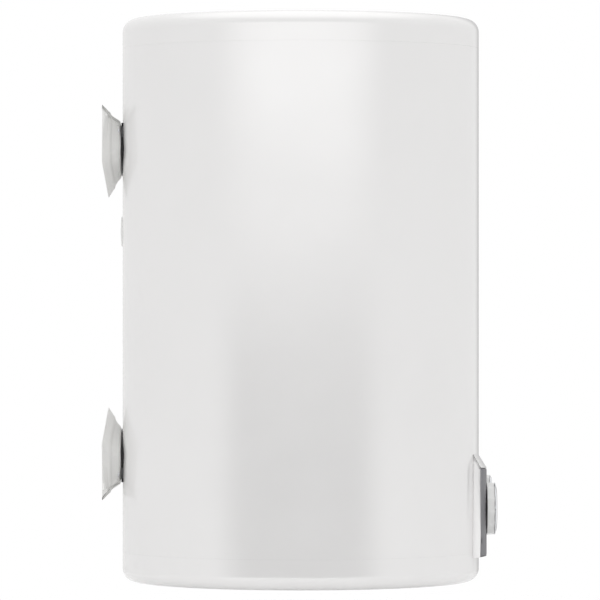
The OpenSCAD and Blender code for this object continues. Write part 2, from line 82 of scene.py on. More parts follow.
class Shader:
    """A principled material with short names for the nodes that its detail needs."""

    def __init__(self, name, color, rough, metal=0.0, spec=0.5, coat=0.0):
        self.mat = bpy.data.materials.new(name)
        self.mat.use_nodes = True
        self.tree = self.mat.node_tree
        self.bsdf = self.tree.nodes["Principled BSDF"]
        self.color = color
        self.rough = rough
        self.bsdf.inputs["Base Color"].default_value = (*color, 1)
        self.bsdf.inputs["Roughness"].default_value = rough
        self.bsdf.inputs["Metallic"].default_value = metal
        self.bsdf.inputs["Specular IOR Level"].default_value = spec
        if coat:
            self.bsdf.inputs["Coat Weight"].default_value = coat
            self.bsdf.inputs["Coat Roughness"].default_value = 0.06
        self.coords = self.node("ShaderNodeTexCoord")
        self.height = None

    def node(self, kind, **inputs):
        made = self.tree.nodes.new(kind)
        for key, value in inputs.items():
            made.inputs[key].default_value = value
        return made

    def link(self, a, b):
        self.tree.links.new(a, b)

    def scaled(self, scale):
        """Object coordinates, stretched by a scale for each axis."""
        mapping = self.node("ShaderNodeMapping", Scale=scale)
        self.link(self.coords.outputs["Object"], mapping.inputs["Vector"])
        return mapping.outputs["Vector"]

    def noise(self, size, detail=3.0, stretch=(1, 1, 1)):
        """Noise whose features are about size metres across."""
        made = self.node("ShaderNodeTexNoise", Scale=1 / size, Detail=detail, Roughness=0.55)
        self.link(self.scaled(stretch), made.inputs["Vector"])
        return made.outputs["Fac"]

    def spread(self, fac, low, high, lo_in=0.3, hi_in=0.7):
        made = self.node("ShaderNodeMapRange")
        made.inputs["From Min"].default_value = lo_in
        made.inputs["From Max"].default_value = hi_in
        made.inputs["To Min"].default_value = low
        made.inputs["To Max"].default_value = high
        self.link(fac, made.inputs["Value"])
        return made.outputs["Result"]

    def tint(self, fac, other, lo_in=0.35, hi_in=0.65):
        """Blends the base colour towards another by a mask."""
        mix = self.node("ShaderNodeMix")
        mix.data_type = "RGBA"
        base = self.bsdf.inputs["Base Color"]
        if base.is_linked:
            self.link(base.links[0].from_socket, mix.inputs["A"])
        else:
            mix.inputs["A"].default_value = (*self.color, 1)
        mix.inputs["B"].default_value = (*other, 1)
        self.link(self.spread(fac, 0, 1, lo_in, hi_in), mix.inputs["Factor"])
        self.link(mix.outputs["Result"], base)
        return self

    def patchy(self, size, amount):
        """Roughness that drifts up and down by amount over patches of a size."""
        rough = self.spread(self.noise(size), self.rough - amount, self.rough + amount)
        self.link(rough, self.bsdf.inputs["Roughness"])
        return self

    def bump(self, fac, distance, strength=1.0):
        made = self.node("ShaderNodeBump", Strength=strength, Distance=distance)
        self.link(fac, made.inputs["Height"])
        if self.height:
            self.link(self.height, made.inputs["Normal"])
        self.height = made.outputs["Normal"]
        self.link(self.height, self.bsdf.inputs["Normal"])
        return self

    def edges(self, other, low=0.53, high=0.62):
        """A slightly different tone along sharp edges, where handling polishes them."""
        geometry = self.node("ShaderNodeNewGeometry")
        return self.tint(geometry.outputs["Pointiness"], other, low, high)


def enamel(name, color, rough=0.12, sheen=0.2):
    """Gloss powder coat: faint orange peel, patchy gloss and a breath of dust."""
    s = Shader(name, color, rough, metal=sheen, spec=0.1)
    s.patchy(0.09, 0.02)
    s.tint(s.noise(0.16, 4), tuple(c * 0.985 for c in color), 0.42, 0.62)
    s.bump(s.noise(0.0032, 2), 0.00005, 0.35)
    s.bump(s.noise(0.05, 2), 0.0002, 0.12)
    return s.mat


def moulded(name, color, rough=0.36, grain=0.0009, depth=0.00006, coat=0.0):
    """Injection-moulded plastic: fine grain, flow marks and slightly polished edges."""
    s = Shader(name, color, rough, spec=0.45, coat=coat)
    s.patchy(0.03, 0.05)
    s.tint(s.noise(0.045, 4, (1, 1, 0.4)), tuple(c * 0.965 for c in color), 0.4, 0.7)
    s.edges(tuple(min(1, c * 1.06 + 0.01) for c in color))
    s.bump(s.noise(grain, 3), depth, 0.5)
    return s.mat


def chrome(name):
    """Plated plastic: mirror finish with the softest ripple and a few hairlines."""
    s = Shader(name, (0.83, 0.84, 0.86), 0.09, metal=1.0)
    s.patchy(0.006, 0.025)
    s.bump(s.noise(0.008, 2), 0.00004, 0.2)
    s.bump(s.noise(0.0006, 1, (1, 14, 1)), 0.00001, 0.3)
    return s.mat


def zinc(name, color=(0.60, 0.61, 0.63), rough=0.34):
    """Bright zinc plating: clouded, with a spangled roughness."""
    s = Shader(name, color, rough, metal=1.0)
    s.patchy(0.004, 0.10)
    s.tint(s.noise(0.006, 4), tuple(c * 0.82 for c in color), 0.4, 0.65)
    s.bump(s.noise(0.0008, 3), 0.00003, 0.5)
    return s.mat


def rubber(name):
    """Closed-cell foam rubber: matt black with pores."""
    s = Shader(name, (0.018, 0.018, 0.019), 0.86, spec=0.2)
    s.patchy(0.01, 0.06)
    s.tint(s.noise(0.002, 4), (0.04, 0.04, 0.042))
    s.bump(s.noise(0.0012, 4), 0.0003, 0.7)
    return s.mat


def foam(name):
    s = Shader(name, (0.80, 0.72, 0.45), 0.9, spec=0.2)
    s.tint(s.noise(0.01, 5), (0.70, 0.60, 0.34))
    s.bump(s.noise(0.004, 5), 0.0008, 0.8)
    return s.mat


def bare(name, color, rough=0.3):
    s = Shader(name, color, rough, metal=1.0)
    s.patchy(0.01, 0.08)
    s.tint(s.noise(0.02, 5), tuple(c * 0.7 for c in color), 0.45, 0.75)
    s.bump(s.noise(0.002, 4), 0.00005, 0.5)
    return s.mat


WHITE = (0.815, 0.808, 0.805)
MATERIALS = {
    "casing_enamel": enamel("casing_enamel", WHITE),
    "bracket_zinc": enamel("bracket_zinc", (0.84, 0.84, 0.825), 0.34, 0.22),
    "white_plastic": moulded("white_plastic", (0.80, 0.80, 0.79), 0.30, coat=0.15),
    "graphite_plastic": moulded("graphite_plastic", (0.115, 0.113, 0.125), 0.42, 0.0007, 0.0001),
    "knob_chrome": chrome("knob_chrome"),
    "screw_steel": zinc("screw_steel"),
    "screw_black": moulded("screw_black", (0.05, 0.05, 0.053), 0.4, 0.0006, 0.00004),
    "pipe_steel": zinc("pipe_steel", (0.55, 0.56, 0.58), 0.40),
    "seal_rubber": rubber("seal_rubber"),
    "insulation_foam": foam("insulation_foam"),
    "tank_enamel": enamel("tank_enamel", (0.03, 0.06, 0.16), 0.2),
    "copper": bare("copper", (0.62, 0.33, 0.21)),
    "magnesium": bare("magnesium", (0.55, 0.55, 0.55), 0.5),
    "brass": bare("brass", (0.66, 0.50, 0.22)),
    "cold_blue": moulded("cold_blue", (0.03, 0.15, 0.55), 0.38),
    "hot_red": moulded("hot_red", (0.55, 0.03, 0.025), 0.38),
    "switch_plastic": moulded("switch_plastic", (0.72, 0.69, 0.58), 0.5),
    "lamp_neon": moulded("lamp_neon", (0.85, 0.3, 0.08), 0.2),
    "lamp_lens": moulded("lamp_lens", (0.42, 0.02, 0.015), 0.12, 0.002, 0.00003, coat=0.6),
    "button_red": moulded("button_red", (0.55, 0.02, 0.02), 0.3),
    "wire_insulation": moulded("wire_insulation", (0.16, 0.07, 0.03), 0.55),
    "gland_plastic": moulded("gland_plastic", (0.05, 0.05, 0.055), 0.5),
}


def dress_cad_nodes():
    """Gives each CAD node the node material of its record slot; the bracket standoffs get black instead,
    as painted shade in the gap behind the brackets.
    """
    slots = {s["node"]: s["material_slot"] for s in frame["record"]["subparts"]}
    # painted shade: the standoffs are coloured black so the gap between bracket and casing reads dark
    slots["bracket_standoffs"] = "screw_black"
    for name, obj in frame["nodes"].items():
        for entry in obj.material_slots:
            entry.material = MATERIALS[slots[name]]


# ---- mesh helpers ----


def finish_piece(name, bm, slot, body, nodes=(), smooth=35):
    """Makes an object of a mesh and ties it to its body, its finish and the nodes it stands for."""
    bmesh.ops.recalc_face_normals(bm, faces=bm.faces)
    mesh = bpy.data.meshes.new(name)
    bm.to_mesh(mesh)
    bm.free()
    obj = bpy.data.objects.new(name, mesh)
    bpy.context.scene.collection.objects.link(obj)
    mesh.materials.append(MATERIALS[slot])
    mesh.shade_smooth()
    mesh.set_sharp_from_angle(angle=math.radians(smooth))
    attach(obj, body)
    if nodes:
        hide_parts(*nodes)


def arc(cx, cz, r, a0, a1, steps=12):
    """Points of an arc in an outline, angles in degrees."""
    out = []
    for i in range(steps + 1):
        a = math.radians(a0 + (a1 - a0) * i / steps)
        out.append((cx + r * math.cos(a), cz + r * math.sin(a)))
    return out


def lathe(bm, outline, place, axis="Z", steps=160, closed=True):
    """Turns an outline of (radius, height) points about an axis through place."""
    turn = {"Z": Matrix.Identity(3), "front": Matrix(((1, 0, 0), (0, 0, -1), (0, 1, 0))),
            "wall": Matrix(((1, 0, 0), (0, 0, 1), (0, -1, 0)))}[axis]
    rings = []
    for r, h in outline:
        if r < 1e-7:
            rings.append([bm.verts.new(place + turn @ Vector((0, 0, h)))])
            continue
        ring = []
        for k in range(steps):
            a = 2 * math.pi * k / steps
            ring.append(bm.verts.new(place + turn @ Vector((r * math.cos(a), r * math.sin(a), h))))
        rings.append(ring)
    pairs = list(zip(rings, rings[1:]))
    if closed:
        pairs.append((rings[-1], rings[0]))
    for a, b in pairs:
        if len(a) == 1 and len(b) == 1:
            continue
        for k in range(steps):
            j = (k + 1) % steps
            if len(a) == 1:
                bm.faces.new((a[0], b[k], b[j]))
            elif len(b) == 1:
                bm.faces.new((a[k], b[0], a[j]))
            else:
                bm.faces.new((a[k], b[k], b[j], a[j]))


def loft(bm, loops, cap_first=True, cap_last=True):
    """Skins closed loops of equal length, one after the other."""
    rings = [[bm.verts.new(p) for p in loop] for loop in loops]
    n = len(rings[0])
    for a, b in zip(rings, rings[1:]):
        for k in range(n):
            j = (k + 1) % n
            bm.faces.new((a[k], a[j], b[j], b[k]))
    if cap_first:
        bm.faces.new(list(reversed(rings[0])))
    if cap_last:
        bm.faces.new(rings[-1])


def rounded_outline(points, radius, steps=6):
    """Rounds the corners of a convex outline; radius may be one number or one a corner."""
    out = []
    count = len(points)
    for i, p in enumerate(points):
        p = Vector(p)
        before = (Vector(points[i - 1]) - p).normalized()
        after = (Vector(points[(i + 1) % count]) - p).normalized()
        r = radius[i] if isinstance(radius, (list, tuple)) else radius
        half = before.angle(after) / 2
        reach = r / math.tan(half)
        centre = p + (before + after).normalized() * (r / math.sin(half))
        start = p + before * reach - centre
        sweep = (p + after * reach - centre).angle(start)
        side = 1 if start.x * after.y - start.y * after.x > 0 else -1
        for k in range(steps + 1):
            a = side * sweep * k / steps
            spun = Vector((start.x * math.cos(a) - start.y * math.sin(a),
                           start.x * math.sin(a) + start.y * math.cos(a)))
            out.append(centre + spun)
    return out


# ---- casing ----


def build_casing():
    bm = bmesh.new()
    low, high = SEAM_LOW + 0.01 * MM, SEAM_HIGH - 0.01 * MM
    wall = 1.2 * MM
    outline = [(CASE_R - SEAM_EASE, low), (CASE_R, low + SEAM_EASE), (CASE_R, high - SEAM_EASE),
               (CASE_R - SEAM_EASE, high), (CASE_R - wall, high), (CASE_R - wall, low)]
    lathe(bm, outline, AXIS, steps=ROUND_STEPS)
    finish_piece("casing_wrap", bm, "casing_enamel", ROOT, ["outer_casing"], smooth=SHEET_SMOOTH)


def build_top_cap():
    bm = bmesh.new()
    crown = 0.5 * MM
    edge = TOP - crown
    inner = 1.5 * MM
    outline = [(0, TOP)]
    outline += [(CASE_R * t, TOP - crown * t * t) for t in (0.25, 0.5, 0.75)]
    outline += arc(CASE_R - RIM, edge - RIM, RIM, 90, 0, 16)
    outline += [(CASE_R, edge - RIM - 0.5 * MM), (CASE_R, SEAM_HIGH + 0.1 * MM),
                (CASE_R - SEAM_EASE, SEAM_HIGH + SEAM_GAP), (CASE_R - inner, SEAM_HIGH + SEAM_GAP)]
    outline += arc(CASE_R - RIM, edge - RIM, RIM - inner, 0, 90, 10)
    outline += [(0, edge - inner)]
    lathe(bm, outline, AXIS, steps=ROUND_STEPS, closed=False)
    finish_piece("top_lid", bm, "casing_enamel", ROOT, ["top_cap"], smooth=SHEET_SMOOTH)


def build_bottom_cap():
    bm = bmesh.new()
    lip, wall = 1.2 * MM, 2 * MM
    well = 149.6 * MM
    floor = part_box("service_cover")[0].z + 3.7 * MM
    hole = 61 * MM
    groove, groove_in = 132 * MM, 126 * MM
    outline = arc(CASE_R - RIM, BASE + RIM, RIM, 0, -90, 16)
    outline += arc(well + lip, BASE + lip, lip, -90, -180, 6)
    outline += arc(well - 3 * MM, floor - 3 * MM, 3 * MM, 0, 90, 6)
    outline += [(groove, floor), (131 * MM, floor - 1 * MM), (127 * MM, floor - 1 * MM),
                (groove_in, floor), (hole, floor), (hole, floor + wall)]
    outline += [(well + wall, floor + wall), (well + wall, BASE + wall)]
    outline += arc(CASE_R - RIM, BASE + RIM, RIM - wall, -90, 0, 10)
    outline += [(CASE_R - wall, SEAM_LOW - SEAM_GAP), (CASE_R - SEAM_EASE, SEAM_LOW - SEAM_GAP),
                (CASE_R, SEAM_LOW - 0.1 * MM), (CASE_R, BASE + RIM + 0.5 * MM)]
    lathe(bm, outline, AXIS, steps=ROUND_STEPS)
    finish_piece("bottom_lid", bm, "casing_enamel", ROOT, ["bottom_cap"], smooth=SHEET_SMOOTH)


def build_service_cover():
    lo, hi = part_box("service_cover")
    face = lo.z + 1.2 * MM
    r = (hi.x - lo.x) / 2
    bm = bmesh.new()
    outline = [(0, face), (49 * MM, face), (50 * MM, face + 0.5 * MM), (52 * MM, face + 0.5 * MM),
               (53 * MM, face)]
    outline += arc(r - 1.2 * MM, face + 1.2 * MM, 1.2 * MM, -90, 0, 6)
    outline += [(r, hi.z - 4.4 * MM), (0, hi.z - 4.4 * MM)]
    lathe(bm, outline, AXIS, steps=128, closed=False)
    ribs, rib_at_button = 12, 3
    for k in range(ribs):
        turn = Matrix.Rotation(math.radians(30 * k), 4, "Z")
        if k == rib_at_button:
            continue
        spot = AXIS + Vector((0, 0, face - 0.1 * MM))
        rib = rounded_outline([(24, -1.4), (46, -1.4), (46, 1.4), (24, 1.4)], 1.3, 4)
        loops = []
        for rise, pull in ((0.3, 0), (-0.5, 0), (-0.9, 0.35)):
            loops.append([spot + turn @ Vector((p.x * MM, p.y * MM * (1 - pull), rise * MM)) for p in rib])
        loft(bm, loops)
    finish_piece("service_hatch", bm, "white_plastic", ROOT, ["service_cover"], smooth=40)


# ---- water and power entries ----


def build_pipe(node, name):
    lo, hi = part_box(node)
    place = upright(node)
    outer, root, bore = 10.475 * MM, 9.75 * MM, 7.8 * MM
    pitch = 1.814 * MM
    outline = [(bore, lo.z + 0.5 * MM), (bore + 0.5 * MM, lo.z), (root, lo.z), (root, lo.z + 0.6 * MM)]
    z = lo.z + 0.6 * MM
    while z + pitch < lo.z + 16.5 * MM:
        outline += [(outer, z + pitch * 0.42), (outer, z + pitch * 0.52), (root, z + pitch * 0.96)]
        z += pitch
    outline += [(outer, lo.z + 17.4 * MM), (outer, hi.z), (bore, hi.z)]
    bm = bmesh.new()
    lathe(bm, outline, place, steps=72)
    finish_piece(name, bm, "pipe_steel", ROOT, [node], smooth=25)


def build_collar(node, name, slot):
    lo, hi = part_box(node)
    place = upright(node)
    outer, inner = 17 * MM, 10.6 * MM
    edge = 1 * MM
    outline = [(inner, hi.z), (inner, lo.z + edge)]
    outline += arc(inner + edge, lo.z + edge, edge, 180, 270, 5)
    outline += arc(outer - edge, lo.z + edge, edge, -90, 0, 5)
    outline += [(outer, hi.z)]
    bm = bmesh.new()
    lathe(bm, outline, place, steps=72)
    for k in range(18):
        a = math.radians(20 * k)
        turn = Matrix.Rotation(a, 4, "Z")
        nub = rounded_outline([(12.6, -0.7), (15.6, -0.7), (15.6, 0.7), (12.6, 0.7)], 0.6, 3)
        loops = [[place + turn @ Vector((p.x * MM, p.y * MM, lo.z + h * MM)) for p in nub]
                 for h in (0.6, 0.0)]
        loft(bm, loops)
    finish_piece(name, bm, slot, ROOT, [node], smooth=30)


def hex_loops(place, flats, heights, chamfer):
    """Loops of a hexagon whose ends are chamfered."""
    loops = []
    corner = flats / math.sqrt(3)
    low, high = heights
    for z, pull in ((low, chamfer), (low + chamfer * 0.6, 0), (high - chamfer * 0.6, 0), (high, chamfer)):
        r = corner - pull
        loops.append([place + Vector((r * math.cos(math.radians(60 * k)),
                                      r * math.sin(math.radians(60 * k)), z)) for k in range(6)])
    return loops


def build_gland():
    lo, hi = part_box("cable_gland")
    place = upright("cable_gland")
    bore = 4.5 * MM
    hex_low = lo.z + 7.9 * MM
    bm = bmesh.new()
    outline = [(bore, hi.z - 4 * MM), (bore, lo.z + 1 * MM)]
    outline += arc(bore + 1 * MM, lo.z + 1 * MM, 1 * MM, 180, 270, 5)
    outline += arc(7.0 * MM, lo.z + 2.5 * MM, 2.5 * MM, -90, 0, 8)
    outline += [(9.5 * MM, hex_low), (9.5 * MM, hi.z - 4 * MM)]
    lathe(bm, outline, place, steps=64)
    for k in range(20):
        turn = Matrix.Rotation(math.radians(18 * k), 4, "Z")
        rib = [(9.2, -0.35), (9.8, -0.25), (9.8, 0.25), (9.2, 0.35)]
        loft(bm, [[place + turn @ Vector((x * MM, y * MM, z)) for x, y in rib]
                  for z in (lo.z + 3 * MM, hex_low)])
    loft(bm, hex_loops(place, 22 * MM, (hex_low, hex_low + 4 * MM), 0.7 * MM))
    finish_piece("cable_entry", bm, "gland_plastic", ROOT, ["cable_gland"], smooth=30)


def build_reset_button():
    lo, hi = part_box("reset_button")
    place = upright("reset_button")
    r, edge = (hi.x - lo.x) / 2, 0.8 * MM
    outline = [(0, lo.z + 0.25 * MM), (r * 0.55, lo.z)]
    outline += arc(r - edge, lo.z + edge, edge, -90, 0, 6)
    outline += [(r, hi.z), (0, hi.z)]
    bm = bmesh.new()
    lathe(bm, outline, place, steps=48, closed=False)
    finish_piece("reset_pin", bm, "button_red", "reset", ["reset_button"], smooth=40)


# ---- wall brackets ----

BRACKET_HALF = 46
BRACKET_SIDE = 57
BRACKET_TIP = 36
SLOPE = BRACKET_TIP / BRACKET_HALF
LEAN = math.radians(8.1)


def bracket_loop(inset, out, radii, lean=LEAN):
    """A bracket's outline, pulled in by inset and standing off the wall by out, in mm.

    The origin is the middle of the flat edge on the wall; the point hangs down and
    leans towards the casing.
    """
    a = BRACKET_HALF - inset
    tip = BRACKET_SIDE + BRACKET_TIP - inset * math.sqrt(1 + SLOPE * SLOPE)
    corner = tip - SLOPE * a
    points = [(-a, -inset), (-a, -corner), (0, -tip), (a, -corner), (a, -inset)]
    top, side, point = radii
    loop = []
    for p in rounded_outline(points, [top, side, point, side, top], 8):
        below = max(0.0, -p.y - BRACKET_SIDE)
        loop.append(Vector((p.x, -out - below * math.sin(lean), p.y)))
    return loop


def build_bracket(node, name, flat_edge, flip):
    """A pressed pan: flared rim on the wall, a step, drafted walls and a rounded floor."""
    centre = middle(node)
    place = Vector((centre.x, WALL_Y, flat_edge))

    def put(loop):
        return [place + Vector((p.x, p.y, p.z * flip)) * MM for p in loop]

    skin = [(0.25, 0.0), (0.0, 0.35), (6.2, 6.4), (7.2, 7.8), (9.6, 8.9), (10.6, 9.8), (13.0, 13.2),
            (14.3, 15.5), (15.7, 17.3), (17.6, 18.15), (20.0, 18.35)]
    t = 2.0
    loops = []
    for inset, out in skin:
        lean = LEAN * (1 - max(0, out - 10) / 8)
        loops.append(put(bracket_loop(inset, out, (5, 16, 7), lean)))
    inner = []
    for inset, out in skin:
        lean = LEAN * (1 - max(0, out - 10) / 8)
        inner.append(put(bracket_loop(inset + t, max(0, out - t * 0.75), (3.4, 14, 5.5), lean)))
    bm = bmesh.new()
    shell = inner[::-1] + loops
    loft(bm, shell)
    finish_piece(name, bm, "bracket_zinc", ROOT, [node], smooth=50)


def flat_plate(name, outline, holes, place, thick, slot, nodes):
    """A plate in the XZ plane with holes and eased edges, from a filled curve."""
    edge = 0.35
    curve = bpy.data.curves.new(name, "CURVE")
    curve.dimensions = "2D"
    curve.fill_mode = "BOTH"
    curve.extrude = (thick / 2 - edge) * MM
    curve.bevel_depth = edge * MM
    curve.bevel_resolution = 3
    curve.offset = -edge * MM
    for loop in [outline, *holes]:
        spline = curve.splines.new("POLY")
        spline.points.add(len(loop) - 1)
        for point, p in zip(spline.points, loop):
            point.co = (p[0] * MM, p[1] * MM, 0, 1)
        spline.use_cyclic_u = True
    source = bpy.data.objects.new(name + "_curve", curve)
    bpy.context.scene.collection.objects.link(source)
    bpy.context.view_layer.update()
    mesh = bpy.data.meshes.new_from_object(source.evaluated_get(bpy.context.evaluated_depsgraph_get()))
    bpy.data.objects.remove(source)
    bm = bmesh.new()
    bm.from_mesh(mesh)
    bpy.data.meshes.remove(mesh)
    bmesh.ops.remove_doubles(bm, verts=bm.verts, dist=1e-6)
    stand = Matrix.Translation(place) @ Matrix.Rotation(math.radians(90), 4, "X")
    bmesh.ops.transform(bm, matrix=stand, verts=bm.verts)
    finish_piece(name, bm, slot, ROOT, nodes, smooth=40)


def build_hook_plate(node, name):
    lo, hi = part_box(node)
    w, h = (hi.x - lo.x) / 2 / MM, (hi.z - lo.z) / 2 / MM
    mount = next(m for m in frame["record"]["mounts"] if m["name"] == "wall_slots")
    dims = mount["dims"]
    r = dims["hole_r_mm"]
    reach = dims["slot_length_mm"] / 2 - r
    spots = [mount["pos_m"][2] + s * dims["spacing_y_mm"] * MM / 2 for s in (-1, 1)]
    slot_z = min(spots, key=lambda z: abs(z - (lo.z + hi.z) / 2))
    centre = Vector(((lo.x + hi.x) / 2, (lo.y + hi.y) / 2, (lo.z + hi.z) / 2))
    drop = (slot_z - centre.z) / MM
    outline = [(p.x, p.y) for p in rounded_outline([(-w, -h), (w, -h), (w, h), (-w, h)], 4, 6)]
    holes = []
    for s in (-1, 1):
        x = s * dims["spacing_x_mm"] / 2
        hole = [(px + x + reach, pz + drop) for px, pz in arc(0, 0, r, -90, 90, 14)]
        hole += [(px + x - reach, pz + drop) for px, pz in arc(0, 0, r, 90, 270, 14)]
        holes.append(hole)
    flat_plate(name, outline, holes, centre, (hi.y - lo.y) / MM, "bracket_zinc", [node])


def build_seal(name, flat_edge, flip):
    """Black foam rubber between a bracket's floor and the round casing; partly a real seal, partly painted
    shade standing for the dark gap there.
    """
    y_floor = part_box("bracket_seals")[1].y
    place = Vector((AXIS.x, 0, flat_edge))
    outline = bracket_loop(17.2, 0, (4, 10, 5), 0)
    rows = []
    for share in (1.0, 0.75, 0.25, 0.0):
        row = []
        for p in outline:
            pull = 0.985 if share in (1.0, 0.0) else 1.0
            x = p.x * pull * MM
            skin = AXIS.y + math.sqrt(CASE_R ** 2 - x ** 2) - 0.05 * MM
            y = skin + (y_floor - skin) * (1 - share)
            row.append(place + Vector((x, y, p.z * flip * MM)))
        rows.append(row)
    bm = bmesh.new()
    loft(bm, rows)
    # the pad's black is partly a real rubber seal and partly painted shade for the gap's darkness
    finish_piece(name, bm, "seal_rubber", ROOT, ["bracket_seals"], smooth=50)


def build_foam_plug():
    lo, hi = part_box("foam_plug")
    centre = middle("foam_plug")
    place = Vector((centre.x, 0, centre.z))
    r = (hi.x - lo.x) / 2
    rise = hi.y - 0.6 * MM
    outline = [(0, hi.y), (3.2 * MM, hi.y), (4 * MM, hi.y - 0.5 * MM), (4.6 * MM, rise - 0.3 * MM),
               (10 * MM, rise - 0.3 * MM), (11 * MM, rise)]
    outline += arc(r - 0.9 * MM, rise - 0.9 * MM, 0.9 * MM, 90, 0, 6)
    outline += [(r, hi.y - 4 * MM), (0, hi.y - 4 * MM)]
    bm = bmesh.new()
    lathe(bm, outline, place, "wall", 72, closed=False)
    finish_piece("foam_stopper", bm, "white_plastic", ROOT, ["foam_plug"], smooth=35)


# ---- control panel ----

KNOB_CORNERS = 12
KNOB_STEPS = 10
KNOB_TURN = math.radians(5)

FACE_OUT = 7.8 * MM
FACE_R = CASE_R + FACE_OUT
FACE_THICK = 2.8 * MM
BOSS_R = 15 * MM
FACE_HALF = FACE_R * math.asin(54 * MM / FACE_R)  # half the face, along its curve


def on_front(s, z, r):
    """A point at radius r, height z and arc length s, in metres, round the front of the body."""
    a = s / FACE_R
    return Vector((AXIS.x + r * math.sin(a), AXIS.y - r * math.cos(a), z))


def panel_loop(half_w, low, high, radius, bottom_radius):
    """A rounded rectangle in arc length and height, densely sampled; always the same count."""
    corner = [bottom_radius] * 2 + [radius] * 2
    flat = rounded_outline([(-half_w, low), (half_w, low), (half_w, high), (-half_w, high)], corner, 8)
    flat = [Vector((p.x, p.y)) for p in flat]
    out = []
    for i, p in enumerate(flat):
        q = flat[(i + 1) % len(flat)]
        count = 24 if i % 9 == 8 else 1  # the long sides, between corners of nine points
        out += [p.lerp(q, k / count) for k in range(count)]
    return out


def build_panel_surround():
    """A low frame: a long ramp above the face, steep flanks beside it and an open lower end."""
    lo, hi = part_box("panel_surround")
    face_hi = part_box("panel_face")[1]
    half, low, crest = FACE_HALF, lo.z, face_hi.z + 0.5 * MM
    ramp = hi.z - crest
    levels = [  # growth upwards, growth sideways, and the radius it is at
        (ramp, 1.5 * MM, CASE_R + 0.02 * MM),
        (ramp - 0.3 * MM, 1.5 * MM, CASE_R + 0.2 * MM),
        (2.2 * MM, 1.4 * MM, FACE_R - 0.9 * MM),
        (1.0 * MM, 1.1 * MM, FACE_R - 0.2 * MM),
        (0.4 * MM, 0.7 * MM, FACE_R - 0.02 * MM),
        (0.1 * MM, 0.3 * MM, FACE_R - 0.25 * MM),
        (0.1 * MM, 0.2 * MM, FACE_R - FACE_THICK),
    ]
    loops = []
    for up, out, r in levels:
        loop = panel_loop(half + out, low, crest + up, 2.5 * MM, 0.6 * MM)
        loops.append([on_front(p.x, p.y, r) for p in loop])
    bm = bmesh.new()
    loft(bm, loops, cap_first=False, cap_last=False)
    finish_piece("panel_frame", bm, "casing_enamel", ROOT, ["panel_surround"], smooth=40)


def build_panel_face():
    lo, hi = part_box("panel_face")
    half = FACE_HALF - 0.3 * MM
    low, high = lo.z, hi.z
    mid = (low + high) / 2
    bm = bmesh.new()
    loops = []
    for pull, r in ((0.0, FACE_R - FACE_THICK), (0.0, FACE_R - 0.5 * MM), (0.18 * MM, FACE_R - 0.15 * MM),
                    (0.55 * MM, FACE_R)):
        loop = panel_loop(half - pull, low + pull, high - pull, 2.3 * MM, 1.0 * MM)
        loops.append([on_front(p.x, p.y, r) for p in loop])
    last = panel_loop(half - 0.55 * MM, low + 0.55 * MM, high - 0.55 * MM, 2.3 * MM, 1.0 * MM)
    for share in (0.9, 0.75, 0.6, 0.45, 0.3, 0.15, 0.02):
        loops.append([on_front(p.x * share, mid + (p.y - mid) * share, FACE_R) for p in last])
    loft(bm, loops, cap_first=False)
    centre = middle("power_knob")
    place = Vector((centre.x, AXIS.y, centre.z))
    top = AXIS.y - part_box("power_knob")[1].y - 0.6 * MM
    r, edge = BOSS_R, 0.8 * MM
    outline = [(0, top - 0.4 * MM), (r * 0.8, top - 0.4 * MM), (r * 0.8 + 0.3 * MM, top)]
    outline += arc(r - edge, top - edge, edge, 90, 0, 6)
    outline += [(r, FACE_R - 9 * MM), (0, FACE_R - 9 * MM)]
    lathe(bm, outline, place, "front", 96, closed=False)
    finish_piece("panel_plate", bm, "graphite_plastic", ROOT, ["panel_face"], smooth=35)


def print_bar(bm, place, centre, length, width, angle, flat_y=None):
    """A thin printed bar on the panel's round face, or on a flat one at flat_y."""
    turn = Matrix.Rotation(angle, 2)
    loops = []
    for rise in (-0.05 * MM, 0.08 * MM):
        loop = []
        for u, v in ((-1, -1), (0, -1), (1, -1), (1, 1), (0, 1), (-1, 1)):
            p = centre + turn @ Vector((u * length / 2, v * width / 2))
            x = place.x + p.x
            y = AXIS.y - math.sqrt((FACE_R + rise) ** 2 - (x - AXIS.x) ** 2)
            if flat_y is not None:
                y = flat_y - rise
            loop.append(Vector((x, y, place.z + p.y)))
        loops.append(loop)
    loft(bm, loops)


def build_dial_marks():
    """Ticks round the temperature knob that grow with heat, and four power steps."""
    bm = bmesh.new()
    knob, power = middle("temperature_knob"), middle("power_knob")
    for k in range(28):
        share = k / 27
        a = math.radians(225 - 270 * share)
        length = (1.0 + 2.4 * share) * MM
        r = 28.6 * MM + length / 2
        centre = Vector((r * math.cos(a), r * math.sin(a)))
        apart = Vector((power.x - knob.x, power.z - knob.z)) - centre
        if apart.length > BOSS_R + 2 * MM:
            print_bar(bm, knob, centre, length, (0.35 + 0.35 * share) * MM, a)
    for k in range(4):
        a = math.radians(150 - 40 * k)
        spot = Vector((14.0 * MM * math.cos(a), 14.0 * MM * math.sin(a)))
        print_bar(bm, power, spot, 1.2 * MM, 0.6 * MM, a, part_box("power_knob")[1].y + 0.6 * MM)
    finish_piece("dial_marks", bm, "white_plastic", ROOT, smooth=30)


